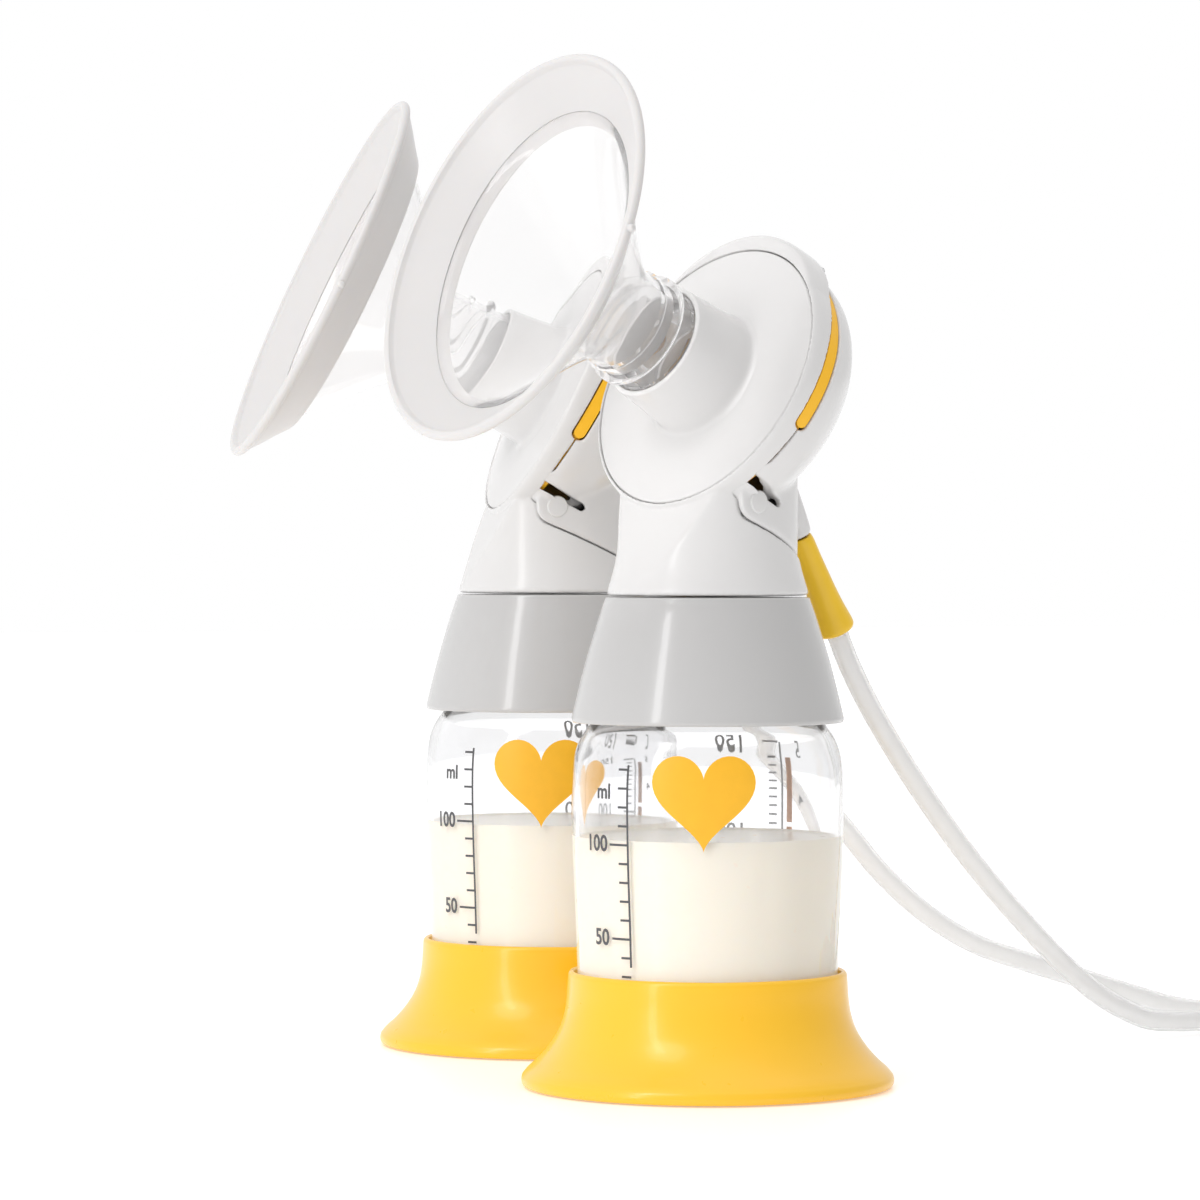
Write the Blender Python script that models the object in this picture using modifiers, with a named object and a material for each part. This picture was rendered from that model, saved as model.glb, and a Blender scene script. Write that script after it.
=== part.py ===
"""Double breast pump collection set: two milk units with their air tubing.

Each unit stands in a flared yellow bottle stand.  A clear bottle of milk screws into a
grey collar.  The collar holds a white housing whose round head leans back, and a soft-rimmed
breast shield plugs into the socket in the head's face.  A yellow membrane parts the head
from a domed cover, whose air port takes the tubing.

Both units are the same design, built once in a unit frame and placed twice.  In the unit
frame the bottle's axis is Z, the shield faces -Y and the floor is z = 0.  Outlines are in
millimetres, and everything Blender receives is in metres.
"""

import math

import bmesh
import bpy
from mathutils import Vector

MM = 0.001
GAP = 0.3

# ---------------------------------------------------------------- driving dimensions, mm
UNIT_SPACING = 96.0
RIGHT_TOE = 19.7
LEFT_TOE = -7.8
RIGHT_SHIELD_ROLL = 9.0
LEFT_SHIELD_ROLL = 0.0
ORIGIN_X = 5.47
ORIGIN_Y = -16.87

FACE_TILT = 25.3
COVER_TILT = 29.3
FACE_CENTRE = (0.0, -1.1, 157.5)
SEAM_DEPTH = 6.0
PORT_TILT = 28.13
PORT_END = (0.0, 28.5, 121.9)
LATCH_PIVOT = (0.0, 33.0, -9.0)

STAND_HEIGHT = 25.5
BOTTLE_FLOOR = 11.5
FLOOR_THICKNESS = 1.5
STAND_FLOOR_THICKNESS = 2.5
MILK_LEVEL = 55.0
COLLAR_BOTTOM = 80.5
COLLAR_TOP = 108.3
NECK_BORE = 14.6
NECK_CORE = 18.0
CHIN_INNER = 18.3
CHIN_OUTER = 20.0
HEAD_RADIUS = 32.6
HUMP_RADIUS = 28.0
HUMP_RISE = 8.0
DISC_RADIUS = 31.3
CHAMBER_RADIUS = 29.6
BEAD_RADIUS = 31.5
WINDOW_LOW = -20.0
WINDOW_HIGH = 57.0

SOCKET_LENGTH = 16.8
SOCKET_BORE = 12.3
PLUG_RADIUS = 12.0
RIM_FRONT = 62.7

PORT_RADIUS = 2.65
ADAPTER_LENGTH = 24.6
TUBE_DIAMETER = 5.0
COIL_RADIUS = 27.5
COIL_HALF_WIDTH = 5.2
COIL_HEIGHT = 10.4
PUMP_PLUG_LENGTH = 22.0

BIG_STEPS = 22
MID_STEPS = 18
SMALL_STEPS = 12

# Route of each tube from its adapter to its coil, metres, in the set's own frame before
# the origin shift.  The first two points lie on the port's axis.
RIGHT_TUBE_ROUTE = [
    (0.03509, 0.03607, 0.10356), (0.03426, 0.03837, 0.09897), (0.03315, 0.04148, 0.09280),
    (0.03108, 0.04726, 0.08360), (0.02811, 0.05555, 0.07260), (0.02454, 0.06553, 0.06070),
    (0.02049, 0.07682, 0.04860), (0.01648, 0.08803, 0.03790), (0.01244, 0.09933, 0.02800),
    (0.00873, 0.10968, 0.01960), (0.00502, 0.12004, 0.01240), (0.00131, 0.13039, 0.00720),
    (-0.00240, 0.14075, 0.00400), (-0.00910, 0.16060, 0.00270), (-0.01100, 0.16800, 0.00270),
    (-0.01180, 0.17350, 0.00270),
]
LEFT_TUBE_ROUTE = [
    (-0.04280, 0.03796, 0.10356), (-0.04247, 0.04038, 0.09897), (-0.04202, 0.04365, 0.09280),
    (-0.04108, 0.05053, 0.08180), (-0.04005, 0.05806, 0.07060), (-0.03899, 0.06579, 0.05980),
    (-0.03782, 0.07431, 0.04940), (-0.03660, 0.08322, 0.03890), (-0.03511, 0.09412, 0.02920),
    (-0.03341, 0.10651, 0.02160), (-0.03151, 0.12038, 0.01660), (-0.02961, 0.13425, 0.01230),
    (-0.02778, 0.14762, 0.00800), (-0.02608, 0.16001, 0.00440), (-0.02445, 0.17189, 0.00290),
    (-0.02380, 0.18450, 0.00270), (-0.02370, 0.19600, 0.00270), (-0.02400, 0.20750, 0.00270),
]
RIGHT_COIL_CENTRE = (0.0187, 0.1910)
LEFT_COIL_CENTRE = (-0.0540, 0.2260)

COLOURS = {
    "yellow": ((0.93, 0.52, 0.02, 1.0), 0.38, 1.0),
    "clear": ((0.93, 0.94, 0.95, 1.0), 0.06, 0.35),
    "milk": ((0.92, 0.86, 0.74, 1.0), 0.30, 1.0),
    "grey": ((0.52, 0.51, 0.51, 1.0), 0.30, 1.0),
    "white": ((0.84, 0.83, 0.83, 1.0), 0.25, 1.0),
    "soft_white": ((0.88, 0.86, 0.86, 1.0), 0.45, 1.0),
    "frosted": ((0.80, 0.80, 0.80, 1.0), 0.35, 1.0),
    "silicone": ((0.95, 0.62, 0.05, 1.0), 0.50, 1.0),
}


# ------------------------------------------------------------------------------ helpers
def clear_scene():
    for obj in list(bpy.data.objects):
        bpy.data.objects.remove(obj, do_unlink=True)


def new_collection(name):
    group = bpy.data.collections.new(name)
    bpy.context.scene.collection.children.link(group)
    return group


def make_materials():
    made = {}
    for name, (colour, roughness, alpha) in COLOURS.items():
        material = bpy.data.materials.new(name)
        material.use_nodes = True
        shader = material.node_tree.nodes["Principled BSDF"]
        shader.inputs["Base Color"].default_value = colour
        shader.inputs["Roughness"].default_value = roughness
        shader.inputs["Metallic"].default_value = 0.0
        shader.inputs["Alpha"].default_value = alpha
        made[name] = material
    return made


def frame(name, parent, location, tilt_x=0.0, turn_z=0.0):
    """An empty that other objects are placed by; location in millimetres."""
    empty = bpy.data.objects.new(name, None)
    empty.empty_display_size = 0.01
    empty.location = Vector(location) * MM
    empty.rotation_euler = (math.radians(tilt_x), 0.0, math.radians(turn_z))
    empty.parent = parent
    PARTS.objects.link(empty)
    return empty


def add_mesh(name, mesh, parent, material=None):
    """An object for mesh, in the parts' collection, or among the cutters without a material."""
    obj = bpy.data.objects.new(name, mesh)
    obj.parent = parent
    if material is None:
        obj.hide_render = True
        obj.display_type = "WIRE"
        CUTTERS.objects.link(obj)
    else:
        mesh.materials.append(MATERIALS[material])
        PARTS.objects.link(obj)
    return obj


def finish_smooth(mesh, angle=35.0):
    mesh.shade_smooth()
    mesh.set_sharp_from_angle(angle=math.radians(angle))


def turned(name, outline, parent, material=None, steps=BIG_STEPS, ring=False):
    """A body turned about Z.  The outline (radius, height) runs down its outer side."""
    mesh = bpy.data.meshes.new(name)
    count = len(outline)
    edges = [(i, i + 1) for i in range(count - 1)]
    if ring:
        edges.append((count - 1, 0))
    mesh.from_pydata([(r * MM, 0.0, z * MM) for r, z in outline], edges, [])
    obj = add_mesh(name, mesh, parent, material)
    screw = obj.modifiers.new("turn", "SCREW")
    screw.axis = "Z"
    screw.angle = math.tau
    screw.steps = steps
    screw.render_steps = steps
    screw.use_merge_vertices = True
    screw.merge_threshold = 0.00001
    screw.use_smooth_shade = True
    return obj


def loft(name, rings, parent, material=None, closed=False):
    """A skin over rings of points (millimetres); capped at both ends unless closed."""
    form = bmesh.new()
    loops = [[form.verts.new(Vector(p) * MM) for p in ring] for ring in rings]
    pairs = list(zip(loops, loops[1:]))
    if closed:
        pairs.append((loops[-1], loops[0]))
    for low, high in pairs:
        count = len(low)
        for i in range(count):
            j = (i + 1) % count
            form.faces.new((low[i], low[j], high[j], high[i]))
    if not closed:
        form.faces.new(loops[0][::-1])
        form.faces.new(loops[-1])
    bmesh.ops.recalc_face_normals(form, faces=form.faces)
    mesh = bpy.data.meshes.new(name)
    form.to_mesh(mesh)
    form.free()
    finish_smooth(mesh)
    return add_mesh(name, mesh, parent, material)


def block(name, size, location, parent, material=None, tilt_x=0.0, bevel=0.0):
    """A box of the given size (millimetres), centred on location and tilted about X."""
    form = bmesh.new()
    bmesh.ops.create_cube(form, size=1.0)
    bmesh.ops.scale(form, vec=Vector(size) * MM, verts=form.verts)
    mesh = bpy.data.meshes.new(name)
    form.to_mesh(mesh)
    form.free()
    obj = add_mesh(name, mesh, parent, material)
    obj.location = Vector(location) * MM
    obj.rotation_euler = (math.radians(tilt_x), 0.0, 0.0)
    if bevel:
        edge = obj.modifiers.new("edge", "BEVEL")
        edge.width = bevel * MM
        edge.segments = 2
    return obj


def prism(name, outline, half_width, parent, across="X"):
    """A flat outline pulled out to both sides: (y, z) points along X, (x, y) along Z."""
    low, high = (-half_width, half_width) if across == "X" else half_width
    if across == "X":
        ends = [[(low, y, z) for y, z in outline], [(high, y, z) for y, z in outline]]
    else:
        ends = [[(x, y, low) for x, y in outline], [(x, y, high) for x, y in outline]]
    return loft(name, ends, parent)


def sector(name, low_r, high_r, half_height, start, stop, parent, material=None, steps=8):
    """A block bent round Z from one angle (degrees) to another."""
    rings = []
    for i in range(steps + 1):
        turn = math.radians(start + (stop - start) * i / steps)
        x, y = math.cos(turn), math.sin(turn)
        rings.append([
            (low_r * x, low_r * y, -half_height), (high_r * x, high_r * y, -half_height),
            (high_r * x, high_r * y, half_height), (low_r * x, low_r * y, half_height),
        ])
    return loft(name, rings, parent, material)


def combine(obj, other, operation):
    modifier = obj.modifiers.new(operation.lower(), "BOOLEAN")
    modifier.operation = operation
    modifier.object = other
    modifier.solver = "EXACT"


def weld(obj):
    """Join the doubled points that a chain of Booleans leaves."""
    modifier = obj.modifiers.new("weld", "WELD")
    modifier.merge_threshold = 0.00002


def arc(centre, radius, start, stop, steps):
    """Points on an arc about centre, from one angle (degrees) to another."""
    points = []
    for i in range(steps + 1):
        turn = math.radians(start + (stop - start) * i / steps)
        points.append((centre[0] + radius * math.cos(turn), centre[1] + radius * math.sin(turn)))
    return points


def horseshoe(radius, front):
    """Seen from above: a half circle behind the bottle's axis with straight arms forward."""
    return arc((0.0, 0.0), radius, 0.0, 180.0, 18) + [(-radius, front), (radius, front)]


def oval(height, half_high, half_wide, steps=BIG_STEPS):
    """A ring of points on an ellipse, its long axis along Y."""
    ring = []
    for i in range(steps):
        turn = math.tau * i / steps
        ring.append((half_wide * math.cos(turn), half_high * math.sin(turn), height))
    return ring


# ------------------------------------------------------------------- bottle and its stand
def make_stand(side, unit):
    floor_top = BOTTLE_FLOOR - GAP
    underside = floor_top - STAND_FLOOR_THICKNESS
    outline = [
        (0.0, floor_top), (28.0, floor_top), (29.6, 13.8), (29.6, STAND_HEIGHT - 0.4),
        (30.2, STAND_HEIGHT), (31.0, STAND_HEIGHT - 0.7), (31.5, 17.0), (34.4, 9.5), (40.4, 3.4),
        (41.5, 1.6), (40.4, 0.0), (38.6, 0.0), (33.4, 6.0), (31.2, underside), (0.0, underside),
    ]
    return turned(f"{side}_stand", outline, unit, "yellow")


BOTTLE_OUTER = [
    (18.0, 97.8), (19.6, 97.8), (19.6, 85.6), (25.6, 80.6), (28.8, 76.4), (30.1, 70.0), (30.2, 58.0),
    (29.4, 40.0), (28.7, 20.0), (27.6, 13.6), (24.0, BOTTLE_FLOOR), (0.0, BOTTLE_FLOOR),
]
BOTTLE_INSIDE = BOTTLE_FLOOR + FLOOR_THICKNESS
BOTTLE_INNER = [
    (0.0, BOTTLE_INSIDE), (23.6, BOTTLE_INSIDE), (26.6, 16.6), (27.9, 40.0), (28.9, 58.0), (28.8, 69.4),
    (27.4, 75.8), (24.6, 79.4), (18.0, 84.8),
]


def make_bottle(side, unit):
    return turned(f"{side}_bottle", BOTTLE_INNER + BOTTLE_OUTER, unit, "clear")


def make_milk(side, unit):
    outline = [
        (0.0, MILK_LEVEL), (28.3, MILK_LEVEL), (27.5, 40.0), (26.2, 16.8), (23.4, BOTTLE_INSIDE + GAP),
        (0.0, BOTTLE_INSIDE + GAP),
    ]
    return turned(f"{side}_milk", outline, unit, "milk")


def make_collar(side, unit):
    outline = [
        (17.3, COLLAR_TOP), (22.65, COLLAR_TOP), (24.8, 102.0), (27.2, 94.0), (30.3, 81.4),
        (30.0, COLLAR_BOTTOM), (28.6, COLLAR_BOTTOM), (25.4, 94.0), (22.9, 101.4), (22.4, 87.0),
        (20.9, 87.0), (20.9, 98.4), (17.3, 98.4),
    ]
    return turned(f"{side}_collar", outline, unit, "grey", ring=True)


# ---------------------------------------------------------------------- valve in the neck
def make_valve(side, unit):
    seat_outline = [(0.0, 99.2), (12.2, 99.2), (12.2, 103.0), (14.3, 103.0), (14.3, 97.4), (0.0, 97.4)]
    seat = turned(f"{side}_valve_seat", seat_outline, unit, "white", MID_STEPS)
    combine(seat, block("valve_hole", (9.0, 12.0, 8.0), (0.0, -1.0, 98.0), unit), "DIFFERENCE")
    hinge = frame(f"{side}_valve_hinge", unit, (0.0, 7.6, 96.7))
    block(f"{side}_valve_flap", (12.0, 16.0, 0.8), (0.0, -8.0, 0.0), hinge, "silicone", bevel=0.2)


# --------------------------------------------------------------------- housing and its face
def chin_outline(grow):
    """Side view (y, z) of the cover's lower part, with its rounded lug at the front."""
    lug = arc((-3.8, 129.5), 4.5 + grow, 250.0, 140.0, 8)
    lower = [(34.0, 108.4 - grow), (12.0, 117.7 - grow)]
    return lower + lug + [(-6.9 - grow, 134.9), (-3.1 - grow, 141.9), (6.0, 150.0), (34.0, 152.0)]


def window_cutters(rear):
    """Two bent slots that bare the membrane's edge, one on each side of the head."""
    cutters = []
    for flip in (1.0, -1.0):
        start, stop = WINDOW_LOW - 1.0, WINDOW_HIGH + 1.0
        if flip < 0.0:
            start, stop = 180.0 - stop, 180.0 - start
        cutters.append(sector("window", 30.9, 37.0, 1.7, start, stop, rear))
    return cutters


DOME_OUTLINE = [
    (0.0, -0.15), (HEAD_RADIUS, -0.15), (HEAD_RADIUS, -2.5), (31.5, -6.0), (29.3, -9.5),
    (26.0, -13.0), (21.0, -16.0), (13.0, -18.3), (0.0, -19.3),
]


def make_housing(side, unit, face, rear):
    neck_outline = [
        (0.0, 136.0), (19.75, 136.0), (19.75, 125.0), (19.95, 121.0), (20.4, 117.0), (21.2, 113.0),
        (22.2, 110.0), (22.65, COLLAR_TOP + GAP), (17.0, COLLAR_TOP + GAP), (17.0, 97.2), (0.0, 97.2),
    ]
    housing = turned(f"{side}_housing", neck_outline, unit, "white")
    front = block("neck_front", (60.0, 120.0, 40.0), (0.0, -20.0, 19.6), face)
    combine(housing, front, "DIFFERENCE")
    head_outline = [
        (0.0, 0.2), (31.9, 0.2), (32.35, -0.8), (HEAD_RADIUS, -3.0), (HEAD_RADIUS, -22.0), (0.0, -22.0),
    ]
    head = turned("head", head_outline, face)
    combine(housing, head, "UNION")
    hump_outline = [
        (0.0, 0.0), (HUMP_RADIUS - 1.2, 0.0), (HUMP_RADIUS - 0.3, -0.9), (HUMP_RADIUS, -2.6),
        (HUMP_RADIUS, -22.0), (0.0, -22.0),
    ]
    hump = turned("hump", hump_outline, face)
    hump.location = (0.0, HUMP_RISE * MM, 0.0)
    combine(housing, hump, "UNION")

    half_depth = 40.0
    behind = [
        (34.6, 209.3), (-7.14, 134.9), (-6.5, 134.9), (-6.5, 126.2), (60.0, 126.2), (60.0, 209.3),
    ]
    combine(housing, prism("behind_seam", behind, half_depth, unit), "DIFFERENCE")
    low_behind = [(-7.0, 135.2), (-12.02, 126.2), (-6.3, 126.2), (-6.3, 135.2)]
    combine(housing, prism("behind_low_seam", low_behind, 14.5, unit), "DIFFERENCE")
    pocket = prism("chin_pocket", chin_outline(GAP), half_depth, unit)
    core = prism("neck_core", horseshoe(NECK_CORE, -30.0), (100.0, 160.0), unit, across="Z")
    combine(pocket, core, "DIFFERENCE")
    combine(housing, pocket, "DIFFERENCE")

    chamber_outline = [
        (0.0, 5.0), (DISC_RADIUS + GAP, 5.0), (DISC_RADIUS + GAP, -2.1), (CHAMBER_RADIUS, -2.1),
        (CHAMBER_RADIUS, -24.0), (0.0, -24.0),
    ]
    combine(housing, turned("chamber", chamber_outline, face), "DIFFERENCE")
    seat_outline = [(0.0, 1.5), (BEAD_RADIUS, 1.5), (BEAD_RADIUS, -5.0), (0.0, -5.0)]
    combine(housing, turned("bead_seat", seat_outline, rear), "DIFFERENCE")
    bore_outline = [(0.0, 121.8), (11.6, 121.8), (NECK_BORE, 119.2), (NECK_BORE, 90.0), (0.0, 90.0)]
    combine(housing, turned("neck_bore", bore_outline, unit, steps=MID_STEPS), "DIFFERENCE")
    drain = [
        (-12.6, 130.2), (-11.5, 129.8), (-13.1, 125.8), (-13.1, 122.5), (-10.0, 121.0),
        (-10.0, 117.0), (-16.4, 117.0), (-16.4, 121.6), (-14.4, 125.6),
    ]
    combine(housing, prism("drain", drain, 5.0, unit), "DIFFERENCE")
    sink = [(-12.02, 126.2), (-8.5, 124.1), (22.0, 124.1), (22.0, 126.4), (-11.9, 126.4)]
    combine(housing, prism("cover_slide_room", sink, 13.0, unit), "DIFFERENCE")
    clearance = [(r + GAP if r else 0.0, h if h > -19.0 else h - GAP) for r, h in DOME_OUTLINE[2:]]
    clearance = [(0.0, 0.05), (HEAD_RADIUS + GAP, 0.05)] + clearance
    combine(housing, turned("dome_clearance", clearance, rear), "DIFFERENCE")
    for cutter in window_cutters(rear):
        combine(housing, cutter, "DIFFERENCE")
    weld(housing)


def make_face_plate(side, face):
    outline = [
        (SOCKET_BORE, SOCKET_LENGTH), (13.4, SOCKET_LENGTH), (14.5, 1.6), (16.0, 0.0),
        (DISC_RADIUS, 0.0), (DISC_RADIUS, -1.8), (10.0, -1.8), (10.0, 4.2), (SOCKET_BORE, 4.2),
    ]
    turned(f"{side}_face_plate", outline, face, "white", ring=True)


# ------------------------------------------------------------------------- breast shield
def make_shield(side, face, roll):
    turn = frame(f"{side}_shield_axis", face, (0.0, 0.0, 0.0), turn_z=roll)
    outer = [
        (4.8, PLUG_RADIUS, PLUG_RADIUS), (16.8, PLUG_RADIUS, PLUG_RADIUS), (17.2, 11.5, 11.5),
        (20.8, 11.5, 11.5), (21.2, 13.2, 13.2), (22.6, 13.2, 13.2), (23.0, 11.5, 11.5),
        (31.0, 11.7, 11.6), (36.0, 15.4, 13.9), (55.5, 36.3, 27.5),
    ]
    inner = [
        (55.5, 34.9, 26.1), (36.0, 13.9, 12.4), (31.0, 10.3, 10.2), (4.8, 10.0, 10.0),
    ]
    funnel = [oval(*ring) for ring in outer + inner]
    loft(f"{side}_shield_funnel", funnel, turn, "clear", closed=True)
    section = [
        (55.8, 36.4, 27.6), (61.0, 43.5, 33.8), (RIM_FRONT, 45.9, 35.9), (62.3, 46.7, 36.8),
        (60.9, 46.6, 36.7), (59.5, 44.8, 35.0), (54.6, 38.2, 29.2), (53.0, 36.2, 27.6),
        (53.0, 34.2, 26.15), (55.4, 36.8, 27.9),
    ]
    loft(f"{side}_shield_rim", [oval(*ring) for ring in section], turn, "soft_white", closed=True)


# ------------------------------------------------------------------ membrane and its cover
def make_membrane(side, rear):
    bead = BEAD_RADIUS - GAP
    outline = [
        (0.0, -6.4), (20.0, -4.4), (28.4, 1.2), (bead, 1.2), (bead, -1.2), (28.4, -1.2),
        (19.6, -5.5), (0.0, -7.4),
    ]
    membrane = turned(f"{side}_membrane", outline, rear, "silicone")
    for flip in (1.0, -1.0):
        start, stop = WINDOW_LOW, WINDOW_HIGH
        if flip < 0.0:
            start, stop = 180.0 - stop, 180.0 - start
        shown = sector("shown_edge", 29.6, HEAD_RADIUS - 0.2, 1.35, start, stop, rear)
        combine(membrane, shown, "UNION")
    weld(membrane)


def make_cover(side, unit, rear, port):
    cover = turned(f"{side}_cover", DOME_OUTLINE, rear, "white")
    half_depth = 40.0
    chin = prism("chin", chin_outline(0.0), half_depth, unit)
    around = prism("chin_around", horseshoe(CHIN_OUTER, -12.0), (100.0, 160.0), unit, across="Z")
    combine(chin, around, "INTERSECT")
    within = prism("chin_within", horseshoe(CHIN_INNER, -30.0), (90.0, 170.0), unit, across="Z")
    combine(chin, within, "DIFFERENCE")
    combine(cover, chin, "UNION")
    port_outline = [(0.0, 26.0), (4.4, 26.0), (3.3, 12.0), (PORT_RADIUS, 0.0), (0.0, 0.0)]
    combine(cover, turned("port_wall", port_outline, port, steps=SMALL_STEPS), "UNION")
    web = [(18.6, 121.0), (26.6, 124.6), (23.4, 133.0), (18.6, 141.0)]
    combine(cover, prism("port_web", web, 2.4, unit), "UNION")
    post = block("latch_post", (9.0, 9.0, 3.4), (0.0, 28.4, -9.0), rear)
    combine(cover, post, "UNION")

    hollow_outline = [
        (0.0, 1.0), (BEAD_RADIUS, 1.0), (BEAD_RADIUS, -1.5), (30.9, -2.6), (29.9, -5.4), (27.8, -8.5),
        (24.7, -11.8), (20.0, -14.5), (12.4, -16.6), (0.0, -17.6),
    ]
    combine(cover, turned("cover_hollow", hollow_outline, rear), "DIFFERENCE")
    bore_outline = [(0.0, 34.0), (1.2, 34.0), (1.2, 9.0), (1.9, 8.4), (1.9, -1.0), (0.0, -1.0)]
    combine(cover, turned("port_bore", bore_outline, port, steps=12), "DIFFERENCE")
    slot = block("side_slot", (60.0, 14.0, 1.8), (0.0, -2.3, 131.7), unit, tilt_x=-27.6)
    keep = block("slot_core", (33.0, 40.0, 40.0), (0.0, 0.0, 131.7), unit)
    combine(slot, keep, "DIFFERENCE")
    combine(cover, slot, "DIFFERENCE")
    for cutter in window_cutters(rear):
        combine(cover, cutter, "DIFFERENCE")
    weld(cover)


def make_latch(side, rear):
    pivot = frame(f"{side}_latch_pivot", rear, LATCH_PIVOT)
    tab = block(f"{side}_latch_tab", (14.0, 2.0, 9.4), (0.0, 1.6, 4.2), pivot, "frosted", bevel=0.6)
    tab.rotation_euler = (math.radians(10.0), 0.0, 0.0)


# --------------------------------------------------------------- adapter, tubing and plug
def make_adapter(side, port):
    outline = [
        (0.8, 7.4), (1.4, 7.4), (1.6, 6.6), (1.6, -GAP), (PORT_RADIUS, -GAP), (2.95, -6.0), (3.4, -14.0),
        (3.95, -20.0), (4.5, -23.2), (4.4, -ADAPTER_LENGTH + 0.3), (4.0, -ADAPTER_LENGTH),
        (2.85, -ADAPTER_LENGTH), (2.85, -12.0), (0.8, -11.6),
    ]
    slider = frame(f"{side}_adapter_axis", port, (0.0, 0.0, 0.0))
    turned(f"{side}_tube_adapter", outline, slider, "yellow", SMALL_STEPS, ring=True)


def smooth_route(points, spacing):
    """Points about spacing apart on a smooth curve through the route's own points."""
    ends = [points[0] * 2.0 - points[1]] + points + [points[-1] * 2.0 - points[-2]]
    fine = []
    for a, b, c, d in zip(ends, ends[1:], ends[2:], ends[3:]):
        for i in range(20):
            t = i / 20.0
            slope_b = (c - a) * 0.5
            slope_c = (d - b) * 0.5
            fine.append(
                b * (2 * t ** 3 - 3 * t ** 2 + 1) + slope_b * (t ** 3 - 2 * t ** 2 + t)
                + c * (3 * t ** 2 - 2 * t ** 3) + slope_c * (t ** 3 - t ** 2)
            )
    fine.append(points[-1])
    lengths = [0.0]
    for a, b in zip(fine, fine[1:]):
        lengths.append(lengths[-1] + (b - a).length)
    count = round(lengths[-1] / spacing)
    route, step = [fine[0]], 1
    for i in range(1, count):
        wanted = lengths[-1] * i / count
        while lengths[step] < wanted:
            step += 1
        share = (wanted - lengths[step - 1]) / (lengths[step] - lengths[step - 1])
        route.append(fine[step - 1].lerp(fine[step], share))
    return route + [fine[-1]]


def make_tube(side, route, parent):
    points = smooth_route([Vector(p) for p in route], 2.4 * TUBE_DIAMETER * MM)
    curve = bpy.data.curves.new(f"{side}_tube", "CURVE")
    curve.dimensions = "3D"
    curve.bevel_depth = TUBE_DIAMETER / 2.0 * MM
    curve.bevel_resolution = 2
    curve.use_fill_caps = True
    spline = curve.splines.new("POLY")
    spline.points.add(len(points) - 1)
    for slot, point in zip(spline.points, points):
        slot.co = (*point, 1.0)
    curve.materials.append(MATERIALS["clear"])
    tube = bpy.data.objects.new(f"{side}_tube", curve)
    tube.parent = parent
    PARTS.objects.link(tube)


def make_coil(side, centre, parent):
    low, high = 0.1, COIL_HEIGHT + 0.1
    inner, outer = COIL_RADIUS - COIL_HALF_WIDTH, COIL_RADIUS + COIL_HALF_WIDTH
    outline = [
        (inner + 1.5, high), (outer - 1.5, high), (outer, high - 1.5), (outer, low + 1.5),
        (outer - 1.5, low), (inner + 1.5, low), (inner, low + 1.5), (inner, high - 1.5),
    ]
    coil = turned(f"{side}_tube_coil", outline, parent, "clear", ring=True)
    coil.location = (centre[0], centre[1], 0.0)


def make_pump_plug(side, centre, turn, roll, parent):
    """The tube's far end: a ribbed yellow plug lying beside the coil, turn degrees round it.

    A roll of 90 points it clockwise round the coil, as seen from above, and -90 the other way.
    """
    outline = [
        (1.0, PUMP_PLUG_LENGTH), (2.2, PUMP_PLUG_LENGTH), (2.7, 15.0), (4.2, 14.6), (4.6, 13.8),
        (4.6, 9.0), (4.0, 8.4), (4.0, 7.0), (4.6, 6.4), (4.6, 1.0), (4.0, 0.0), (2.85, 0.0),
        (2.85, 10.0), (1.0, 10.4),
    ]
    reach = COIL_RADIUS + COIL_HALF_WIDTH
    away = math.radians(turn)
    seat = frame(f"{side}_pump_plug_place", parent, (0.0, 0.0, 0.0))
    seat.location = (
        centre[0] + (reach + 5.4) * MM * math.cos(away),
        centre[1] + (reach + 5.4) * MM * math.sin(away),
        4.7 * MM,
    )
    seat.rotation_euler = (math.radians(roll), 0.0, away)
    turned(f"{side}_pump_plug", outline, seat, "yellow", SMALL_STEPS, ring=True)


# --------------------------------------------------------------------------- whole set
def make_unit(side, centre_x, toe, roll, whole):
    unit = frame(f"{side}_unit", whole, (centre_x, 0.0, 0.0), turn_z=toe)
    face = frame(f"{side}_face_frame", unit, FACE_CENTRE, tilt_x=90.0 - FACE_TILT)
    tilt = math.radians(FACE_TILT)
    back = Vector((0.0, math.cos(tilt), -math.sin(tilt))) * SEAM_DEPTH
    rear_place = Vector(FACE_CENTRE) + back
    rear = frame(f"{side}_rear_frame", unit, rear_place, tilt_x=90.0 - COVER_TILT)
    port = frame(f"{side}_port_frame", unit, PORT_END, tilt_x=PORT_TILT)
    make_stand(side, unit)
    make_bottle(side, unit)
    make_milk(side, unit)
    make_collar(side, unit)
    make_valve(side, unit)
    make_housing(side, unit, face, rear)
    make_face_plate(side, face)
    make_shield(side, face, roll)
    make_membrane(side, rear)
    make_cover(side, unit, rear, port)
    make_latch(side, rear)
    make_adapter(side, port)


clear_scene()
PARTS = new_collection("breast_pump_set")
CUTTERS = new_collection("cutters")
MATERIALS = make_materials()

WHOLE = frame("set_origin", None, (-ORIGIN_X, -ORIGIN_Y, 0.0))
make_unit("right", UNIT_SPACING / 2.0, RIGHT_TOE, RIGHT_SHIELD_ROLL, WHOLE)
make_unit("left", -UNIT_SPACING / 2.0, LEFT_TOE, LEFT_SHIELD_ROLL, WHOLE)
make_tube("right", RIGHT_TUBE_ROUTE, WHOLE)
make_tube("left", LEFT_TUBE_ROUTE, WHOLE)
make_coil("right", RIGHT_COIL_CENTRE, WHOLE)
make_coil("left", LEFT_COIL_CENTRE, WHOLE)
make_pump_plug("right", RIGHT_COIL_CENTRE, 20.0, 90.0, WHOLE)
make_pump_plug("left", LEFT_COIL_CENTRE, 80.0, -90.0, WHOLE)
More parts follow.
